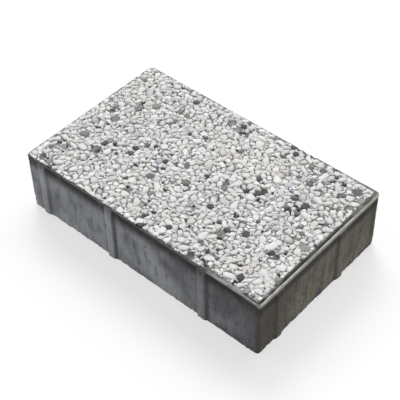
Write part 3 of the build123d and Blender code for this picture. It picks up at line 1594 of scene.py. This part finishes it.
@dataclass
class StoneBreaker:
    """Breaks stones of unit radius out of a cube, cut by cut."""

    seed: int
    cube: float = 2.4
    foot_height: float = -0.4
    top_height: float = 0.68
    first_height: float = 0.97
    height_fall: float = 1.15
    height_play: float = 0.12
    steepest: float = 0.99
    golden_turn: float = math.pi * (3 - math.sqrt(5))
    turn_play: float = 0.5
    cut_distance: tuple[float, float] = (0.7, 1.0)
    foot_slack: float = 0.01
    flat_slack: float = 0.001
    decimals: int = 4
    skin_radius: float = 0.46
    foot_place: float = 0.4
    foot_scale: float = 0.05
    widenings: tuple[float, ...] = (-0.5, -0.35, -0.2, -0.1)

    def __post_init__(self) -> None:
        """Seeds the cuts."""
        self.rng = np.random.default_rng(self.seed)

    def chips(self, count: int, cuts: int, blunt: float) -> list[ChipShape]:
        """Breaks a number of stones.

        Args:
            count: how many.
            cuts: the flat breaks on each.
            blunt: how far each edge is worn back, as a share of its faces.

        Returns:
            The stones.
        """
        return [self._chip(cuts, blunt) for _ in range(count)]

    def _chip(self, cuts: int, blunt: float) -> ChipShape:
        """Breaks one stone and wears its edges.

        Args:
            cuts: the number of flat breaks.
            blunt: how far each edge is worn back.

        Returns:
            The stone.
        """
        rng = self.rng
        stone = bmesh.new()
        bmesh.ops.create_cube(stone, size=self.cube)
        self._cut(stone, Vector((0, 0, self.foot_height)), Vector((0, 0, -1)))
        self._cut(stone, Vector((0, 0, self.top_height)), Vector((0, 0, 1)))
        for number in range(cuts):
            height = self.first_height - self.height_fall * number / cuts
            height += rng.uniform(-self.height_play, self.height_play)
            turn = number * self.golden_turn + rng.uniform(-self.turn_play, self.turn_play)
            flat = math.sqrt(1 - min(height, self.steepest) ** 2)
            way = Vector((flat * math.cos(turn), flat * math.sin(turn), height))
            self._cut(stone, way * rng.uniform(*self.cut_distance), way)
        points = set()
        for face in stone.faces:
            middle = face.calc_center_median()
            worn = 0.0 if middle.z < self.foot_height + self.foot_slack else blunt
            ends = [corner.co.lerp(middle, worn) for corner in face.verts]
            points |= {tuple(round(part, self.decimals) for part in end) for end in ends}
        stone.free()
        return self._hull(sorted(points))

    @staticmethod
    def _cut(stone: bmesh.types.BMesh, place: Vector, way: Vector) -> None:
        """Cuts off what lies beyond a plane and closes the cut.

        Args:
            stone: the stone, which is changed.
            place: a point on the plane.
            way: the plane's outward direction.
        """
        parts = [*stone.verts, *stone.edges, *stone.faces]
        cut = bmesh.ops.bisect_plane(stone, geom=parts, plane_co=place, plane_no=way, clear_outer=True)
        rim = [part for part in cut["geom_cut"] if isinstance(part, bmesh.types.BMEdge)]
        if rim:
            bmesh.ops.contextual_create(stone, geom=rim)

    def _hull(self, points: Sequence[tuple[float, float, float]]) -> ChipShape:
        """Spans a closed skin round the points and lays it out flat, the foot apart from the rest.

        Args:
            points: the worn corners of a stone.

        Returns:
            The stone.
        """
        skin = bmesh.new()
        for point in points:
            skin.verts.new(point)
        spanned = bmesh.ops.convex_hull(skin, input=skin.verts)
        inner = {part for key in ("geom_interior", "geom_unused") for part in spanned[key]}
        loose = [part for part in inner if isinstance(part, bmesh.types.BMVert)]
        bmesh.ops.delete(skin, geom=loose, context="VERTS")
        bmesh.ops.triangulate(skin, faces=skin.faces)
        bmesh.ops.recalc_face_normals(skin, faces=skin.faces)
        skin.verts.index_update()
        corners = np.array([corner.co for corner in skin.verts])
        triangles = np.array([[corner.index for corner in face.verts] for face in skin.faces])
        skin.free()

        in_foot = corners[:, 2] < self.foot_height + self.flat_slack
        flat = in_foot[triangles].all(1)
        places = self.skin_radius * self._spread(corners, triangles[~flat], in_foot)[triangles]
        places[flat] = self.foot_place + self.foot_scale * corners[triangles[flat], :2]
        return ChipShape(corners, triangles, places, in_foot)

    def _spread(self, corners: np.ndarray, skin: np.ndarray, rim: np.ndarray) -> np.ndarray:
        """Spreads the skin above the foot over a round disc, so that none of it lies double.

        The foot's rim goes round the disc, and each other corner is drawn to its neighbours, the
        nearer ones more. The middle is then widened as far as no triangle turns over.

        Args:
            corners: the corners of the stone.
            skin: the triangles above the foot.
            rim: which corners are on the foot.

        Returns:
            The place of each corner on a disc of radius 1.
        """
        turn = np.arctan2(corners[:, 1], corners[:, 0])
        pull = np.zeros((len(corners), len(corners)))
        for first, second in ((0, 1), (1, 2), (2, 0)):
            a, b = skin[:, first], skin[:, second]
            pull[a, b] = pull[b, a] = 1 / np.linalg.norm(corners[a] - corners[b], axis=1)
        pull[rim] = 0
        balance = np.diag(np.where(rim, 1, pull.sum(1))) - pull
        spots = np.linalg.solve(balance, rim[:, None] * np.stack([np.cos(turn), np.sin(turn)], 1))
        away = np.maximum(np.hypot(*spots.T), TINY)
        for power in self.widenings:
            wider = spots * (away**power)[:, None]
            start, left, right = (wider[skin[:, at]] for at in range(3))
            if np.linalg.det(np.stack([left - start, right - start], 1)).min() > 0:
                return wider
        return spots


@dataclass(frozen=True)
class Grade:
    """Stones that are set in one turn: their radii in millimetres, and at most how many."""

    smallest_mm: float
    largest_mm: float
    most: int


@dataclass(frozen=True)
class Breaking:
    """How the stones of a piece are broken: shapes, cuts on each, and how worn their edges are."""

    name: str
    shapes: int
    cuts: int
    blunt: float


@dataclass(frozen=True)
class DarkStone:
    """A dark stone that stands out in the photograph."""

    along: float
    across: float
    radius: float


@dataclass
class WashedFace:
    """The stones that the washing laid bare, packed side by side and standing out of the bed."""

    block: CastBlock
    seed: int = 5
    relief_seed: int = 12
    spacing: float = 0.84
    edge_gap: float = 0.8 * MM
    front_gap: float = 2.0 * MM
    lip_gap: float = 4.4 * MM
    front_ripple: Ripple = Ripple(0.5 * MM, 5 * MM, ALONG)
    lip_ripple: Ripple = Ripple(0.5 * MM, 5 * MM, ACROSS)
    bed_margin: float = 0.9 * MM
    clearance: float = 1.1
    bare_length: float = 24.0 * MM
    bare_width: float = 2.4 * MM
    flatness: tuple[float, float] = (0.6, 1.0)
    longest: float = 0.6
    length_odds: tuple[float, float] = (1.6, 3.0)
    lean: float = 0.1
    sink: float = 0.28 * MM
    small_radius: float = 1.6 * MM
    small_sink: float = 0.8
    hollow: float = 0.95 * MM
    hollow_ripple: Ripple = Ripple(2.2, 6 * MM)
    hollow_level: float = 0.3
    smear_lift: float = 0.6
    deepest: float = 1.1 * MM
    dark_sink: float = 0.3
    rim_lift: float = 0.25 * MM
    root_depth: float = 3.4 * MM
    pasted_depth: float = 1.1 * MM
    drift: Ripple = Ripple(0.9, 38 * MM)
    dark_radii: tuple[float, ...] = (1.2 * MM, 2.0 * MM, 2.8 * MM)
    dark_odds: tuple[float, ...] = (1.1, 1.5, 1.0)
    dark_nearer: float = 0.35
    coarse_from: float = 1.6 * MM
    coarse: Breaking = Breaking("chips", 24, 11, 0.16)
    fine: Breaking = Breaking("grit", 16, 8, 0.0)
    sharp: float = math.radians(24)
    dark_stones: tuple[DarkStone, ...] = (
        DarkStone(32 * MM, -23 * MM, 3.1 * MM),
        DarkStone(-87 * MM, -25 * MM, 3.1 * MM),
        DarkStone(-62 * MM, -12 * MM, 2.9 * MM),
        DarkStone(-31 * MM, -8 * MM, 2.8 * MM),
        DarkStone(55 * MM, -18 * MM, 2.6 * MM),
        DarkStone(102 * MM, -30 * MM, 2.9 * MM),
        DarkStone(-9 * MM, 69 * MM, 3.0 * MM),
        DarkStone(100 * MM, 67 * MM, 2.3 * MM),
        DarkStone(91 * MM, 64 * MM, 2.3 * MM),
        DarkStone(7 * MM, 2 * MM, 2.3 * MM),
        DarkStone(-24 * MM, 36 * MM, 2.3 * MM),
        DarkStone(2 * MM, -58 * MM, 2.2 * MM),
        DarkStone(-43 * MM, -44 * MM, 2.1 * MM),
        DarkStone(89 * MM, 21 * MM, 2.2 * MM),
        # This stone lies in the nicks at the front edge, where its dark also stands in for their shade.
        DarkStone(72.3 * MM, -74.0 * MM, 2.8 * MM),
    )
    grades: tuple[Grade, ...] = (
        Grade(3.8, 5.2, 160),
        Grade(2.9, 3.8, 900),
        Grade(1.9, 2.8, 1500),
        Grade(1.1, 1.7, 2600),
        Grade(0.7, 1.0, 2000),
    )

    def __post_init__(self) -> None:
        """Sets the stones, the placed dark ones first and then one grade after the other."""
        half = Vector((self.block.half_length, self.block.half_width))
        self.low = np.array([-half.x + self.edge_gap, -half.y + self.front_gap])
        self.high = np.array([half.x - self.lip_gap, half.y - self.edge_gap])
        self.rng = np.random.default_rng(self.seed)
        self.relief = Relief(self.relief_seed)
        widest = self.grades[0].largest_mm * MM
        bed = Bed(self.low + self.bed_margin, self.high - self.bed_margin, self.spacing, widest)
        self._keep_bare(bed, half)
        stones = [(stone.along, stone.across, stone.radius) for stone in self.dark_stones]
        for x, y, radius in stones:
            bed.take(x, y, radius)
        for grade in self.grades:
            stones += bed.fill(grade.smallest_mm * MM, grade.largest_mm * MM, grade.most, self.rng)
        found = np.array(stones)
        self.middles, self.radii = found[:, :2], found[:, 2]
        self.sorts = self._sorts()
        self.sorts[: len(self.dark_stones)] = DARK_PLACE

    def _keep_bare(self, bed: Bed, half: Vector) -> None:
        """Keeps stones out of the pits and nicks, off the back rim's right end and off the crust.

        Args:
            bed: the room on the face, which is changed.
            half: half the block's length and width.
        """
        block = self.block
        for (x, y), radius in zip(block.pit_middles, block.pit_radii):
            bed.take(x, y, radius)
        for nick in block.nicks:
            middle = block.nick_middle(nick)
            bed.take(middle.x, middle.y, self.clearance * nick.radius)
        for x in np.arange(half.x - self.bare_length, half.x, self.bare_width):
            bed.take(x, half.y, self.bare_width)
        for x in np.arange(block.crust_begins, half.x, self.bare_width):
            bed.take(x, -half.y, self.clearance * block.crust_width)

    def _sorts(self) -> np.ndarray:
        """Gives each stone a sort, so that warm and cool stones lie in drifts.

        Returns:
            The place of each stone's sort among all sorts.
        """
        places = np.column_stack([self.middles, np.zeros(len(self.middles))])
        drift = self.drift.on(self.relief, places)
        shares = np.tile(list(SHARES.values()), (len(drift), 1))
        order = list(SHARES)
        for stone in (Stone.BUFF, Stone.ROSE):
            shares[:, order.index(stone)] *= 1 + drift
        shares[:, order.index(Stone.COOL)] *= 1 - drift
        heavy = np.interp(self.radii, self.dark_radii, self.dark_odds)
        x, y = self.middles.T
        nearer = x / self.block.half_length - y / self.block.half_width
        dark = heavy * (1 + self.dark_nearer * nearer) * (1 - self.block.smear(places))
        shares[:, DARK_PLACE] *= dark
        steps = np.cumsum(shares, 1)
        return (self.rng.random((len(drift), 1)) * steps[:, -1:] > steps).sum(1)

    def build(self, finishes: dict[Stone, StoneFinish]) -> list[bpy.types.Object]:
        """Makes one piece of coarse stones and one of fine stones for each sort.

        Args:
            finishes: the finish of each sort.

        Returns:
            The pieces.
        """
        breaker = StoneBreaker(self.seed)
        large = self.radii >= self.coarse_from
        batches = [
            (kind.name, grade, breaker.chips(kind.shapes, kind.cuts, kind.blunt))
            for kind, grade in ((self.coarse, large), (self.fine, ~large))
        ]
        pieces = []
        for at, stone in enumerate(SHARES):
            material = finishes[stone].material(stone.value)
            for name, grade, shapes in batches:
                chosen = np.flatnonzero(grade & (self.sorts == at))
                pieces.append(self._mesh(f"{stone.value}_{name}", chosen, shapes, material))
        return pieces

    def _mesh(
        self, name: str, chosen: np.ndarray, shapes: Sequence[ChipShape], material: bpy.types.Material
    ) -> bpy.types.Object:
        """Makes one joined mesh of closed stones.

        Args:
            name: the piece's name.
            chosen: the numbers of the stones in this piece.
            shapes: the shapes that its stones are drawn from.
            material: their finish.

        Returns:
            The piece.
        """
        rng, count = self.rng, len(chosen)
        kinds = rng.integers(len(shapes), size=count)
        tones = rng.random(count)
        cells = math.ceil(math.sqrt(count))
        vertices, triangles, places, tone, foot = [], [], [], [], []
        before = 0
        for kind, shape in enumerate(shapes):
            own = np.flatnonzero(kinds == kind)
            corners, depth = self._placed(chosen[own], shape)
            each = len(shape.corners)
            starts = before + np.arange(len(own)) * each
            cell = np.stack([own % cells, own // cells], 1) + 0.5
            vertices.append(corners.reshape(-1, 3))
            triangles.append((starts[:, None, None] + shape.triangles).reshape(-1, 3))
            places.append(((cell[:, None, None] + shape.places) / cells).reshape(-1, 3, 2))
            tone.append(np.repeat(tones[own], each))
            foot.append(depth.ravel())
            before += each * len(own)
        facets = [Facets(np.concatenate(triangles), np.concatenate(places))]
        numbers = {Zone.TONE: np.concatenate(tone), Zone.FOOT: np.concatenate(foot)}
        return make_piece(name, np.concatenate(vertices), facets, numbers, material, self.sharp)

    def _placed(self, chosen: np.ndarray, shape: ChipShape) -> tuple[np.ndarray, np.ndarray]:
        """Sets stones of one shape into the bed, inside the block's outline.

        Args:
            chosen: the numbers of the stones.
            shape: their shape.

        Returns:
            The corners of each stone, and how far down the stone each lies, from 0 to 1.
        """
        block, middles = self.block, self.middles[chosen]
        x, y, z = self._turned(self.radii[chosen], shape)
        z += block.height - (self._sunk(chosen) + z.max(1))[:, None]
        x, y = block.kept_inside(x + middles[:, :1], y + middles[:, 1:], self.edge_gap)
        x = np.minimum(x, self.high[0] + self._ragged(self.lip_ripple, x, y))
        y = np.maximum(y, self.low[1] + self._ragged(self.front_ripple, x, y))
        inset = block.inset(x, y)
        lift = self.rim_lift * np.clip(1 - inset / block.bevel_width, 0, 1)
        z = np.minimum(z, block.skin_height(inset) + lift)
        root = block.height - self.root_depth
        z = np.where(shape.in_foot, np.minimum(z, root), np.maximum(z, root))
        down = np.clip((z.max(1)[:, None] - z) / self.pasted_depth, 0, 1)
        return np.stack([x, y, z], 2), down

    def _turned(
        self, radius: np.ndarray, shape: ChipShape
    ) -> tuple[np.ndarray, np.ndarray, np.ndarray]:
        """Stretches stones of one shape, turns them and leans them over.

        Args:
            radius: the radius of each stone.
            shape: their shape.

        Returns:
            The places of their corners along, across and up, from the middle of each stone.
        """
        rng, count = self.rng, len(radius)
        longer = 1 + self.longest * rng.beta(*self.length_odds, count)
        tall = radius * rng.uniform(*self.flatness, count)
        size = np.stack([radius * longer, radius / np.sqrt(longer), tall], 1)
        heading = rng.uniform(0, 2 * math.pi, count)[:, None]
        u, v, w = np.moveaxis(shape.corners[None] * size[:, None], 2, 0)
        x = u * np.cos(heading) - v * np.sin(heading)
        y = u * np.sin(heading) + v * np.cos(heading)
        lean = rng.normal(0, self.lean, (count, 2))
        return x, y, w + x * lean[:, :1] + y * lean[:, 1:]

    def _sunk(self, chosen: np.ndarray) -> np.ndarray:
        """Tells how far below the face the tops of stones lie.

        Args:
            chosen: the numbers of the stones.

        Returns:
            The depths. Small stones lie lower, some lie in hollows, and dark ones stand out.
        """
        places = np.column_stack([self.middles[chosen], np.zeros(len(chosen))])
        sunk = np.abs(self.rng.normal(0, self.sink, len(chosen)))
        sunk += self.small_sink * np.clip(self.small_radius - self.radii[chosen], 0, 1)
        hollow = self.hollow_ripple.on(self.relief, places) - self.hollow_level
        sunk += self.hollow * np.clip(hollow, 0, 1)
        sunk *= 1 - self.smear_lift * self.block.smear(places)
        dark = self.sorts[chosen] == DARK_PLACE
        return np.minimum(sunk, self.deepest) * np.where(dark, self.dark_sink, 1.0)

    def _ragged(self, ripple: Ripple, x: np.ndarray, y: np.ndarray) -> np.ndarray:
        """How far a ripple moves the edge of the stones at some places on the face."""
        places = np.stack([x, y, np.zeros_like(x)], -1).reshape(-1, 3)
        return ripple.on(self.relief, places).reshape(x.shape)


@dataclass
class Studio:
    """The floor, the light and the camera."""

    camera_place: Vector = field(default_factory=lambda: Vector((0.4257, -0.4669, 0.6734)))
    camera_roll: float = math.radians(-1.4)
    field_of_view: float = math.radians(21.5)
    aim: Vector = field(default_factory=lambda: Vector((0.0, 0.0, 0.027)))
    sensor: float = 36.0
    nearest: float = 0.01
    floor_size: float = 12.0
    floor_drop: float = 0.05 * MM
    floor_seen: Colour = (0.98, 0.98, 0.98)
    floor_bounce: Colour = (0.7, 0.7, 0.7)
    floor_glow: float = 0.6
    sky_strength: float = 0.54
    sky_lean: float = 0.4
    bright_side: Vector = field(default_factory=lambda: Vector((-0.7, 0.7, 0.14)))
    lamp_elevation: float = math.radians(47)
    lamp_spread: float = math.radians(28)
    lamps: tuple[tuple[str, float, float], ...] = (
        ("softbox_left", math.radians(138), 1.68),
        ("softbox_back", math.radians(96), 0.5),
    )

    def build(self) -> None:
        """Sets up everything that isn't the tile."""
        self._floor()
        self._sky()
        for name, azimuth, strength in self.lamps:
            self._lamp(name, azimuth, strength)
        self._camera()
        bpy.context.scene.view_settings.view_transform = "Standard"

    @staticmethod
    def _seen(nodes: MaterialNodes) -> Signal:
        """Tells what the camera sees, straight or in a shine or through glass.

        Args:
            nodes: the material.

        Returns:
            1 there, and 0 elsewhere.
        """
        rays = ("Is Camera Ray", "Is Glossy Ray", "Is Transmission Ray")
        camera, glossy, through = (nodes.add("ShaderNodeLightPath", {}, {}, ray) for ray in rays)
        return camera + glossy + through

    def _floor(self) -> None:
        """A pale floor, which the camera sees paler than the light does."""
        nodes = MaterialNodes("floor")
        matt = nodes.add("ShaderNodeBsdfDiffuse", {}, {"Color": self.floor_seen})
        glow = nodes.add("ShaderNodeEmission", {}, {"Color": WHITE, "Strength": 1.0})
        seen = nodes.add("ShaderNodeMixShader", {}, {0: self.floor_glow, 1: matt, 2: glow})
        bounce = nodes.add("ShaderNodeBsdfDiffuse", {}, {"Color": self.floor_bounce})
        mixed = nodes.add("ShaderNodeMixShader", {}, {0: self._seen(nodes), 1: bounce, 2: seen})
        nodes.add("ShaderNodeOutputMaterial", {}, {"Surface": mixed})
        half = self.floor_size / 2
        mesh = bpy.data.meshes.new("floor")
        corners = [(-half, -half, 0), (half, -half, 0), (half, half, 0), (-half, half, 0)]
        mesh.from_pydata(corners, [], [(0, 1, 2, 3)])
        mesh.materials.append(nodes.material)
        floor = bpy.data.objects.new("floor", mesh)
        floor.location.z = -self.floor_drop
        bpy.context.scene.collection.objects.link(floor)

    def _sky(self) -> None:
        """Soft light from all round, fuller from behind, and white where the camera sees it."""
        world = bpy.data.worlds.new("sky")
        world.use_nodes = True
        nodes = MaterialNodes.of_world(world)
        way = nodes.add("ShaderNodeTexCoord", {}, {}, "Generated")
        side = {0: way, 1: self.bright_side.normalized()}
        lean = nodes.add("ShaderNodeVectorMath", {"operation": "DOT_PRODUCT"}, side, "Value")
        strength = (lean * self.sky_lean + 1) * self.sky_strength
        dim = nodes.add("ShaderNodeBackground", {}, {"Color": WHITE, "Strength": strength})
        white = nodes.add("ShaderNodeBackground", {}, {"Color": WHITE, "Strength": 1.0})
        mixed = nodes.add("ShaderNodeMixShader", {}, {0: self._seen(nodes), 1: dim, 2: white})
        nodes.add("ShaderNodeOutputWorld", {}, {"Surface": mixed})
        bpy.context.scene.world = world

    def _lamp(self, name: str, azimuth: float, strength: float) -> None:
        """One broad soft light, high up.

        Args:
            name: the lamp's name.
            azimuth: where it stands, as an angle from +X towards +Y.
            strength: how strong it is.
        """
        light = bpy.data.lights.new(name, "SUN")
        light.angle = self.lamp_spread
        light.energy = strength
        flat = math.cos(self.lamp_elevation)
        place = (flat * math.cos(azimuth), flat * math.sin(azimuth), math.sin(self.lamp_elevation))
        lamp = bpy.data.objects.new(name, light)
        lamp.rotation_mode = "QUATERNION"
        lamp.rotation_quaternion = Vector(place).to_track_quat("Z", "Y")
        bpy.context.scene.collection.objects.link(lamp)

    def _camera(self) -> None:
        """The photograph's view of this tile, closer up."""
        data = bpy.data.cameras.new("camera")
        data.sensor_width = self.sensor
        data.lens = data.sensor_width / 2 / math.tan(self.field_of_view / 2)
        data.clip_start = self.nearest
        camera = bpy.data.objects.new("camera", data)
        camera.location = self.camera_place
        camera.rotation_mode = "QUATERNION"
        aimed = (self.aim - self.camera_place).to_track_quat("-Z", "Y")
        camera.rotation_quaternion = aimed @ Quaternion((0, 0, 1), self.camera_roll)
        bpy.context.scene.collection.objects.link(camera)
        bpy.context.scene.camera = camera


def main() -> None:
    """Builds the block, its face and the studio."""
    logging.basicConfig(level=logging.INFO, format="%(name)s: %(message)s")
    block = CastBlock()
    walls = WallFinish(block.half_length, block.half_width, block.height)
    block.build(ConcreteFinish(walls).material("concrete"))
    WashedFace(block).build(FINISHES)
    Studio().build()


if __name__ == "__main__":
    main()
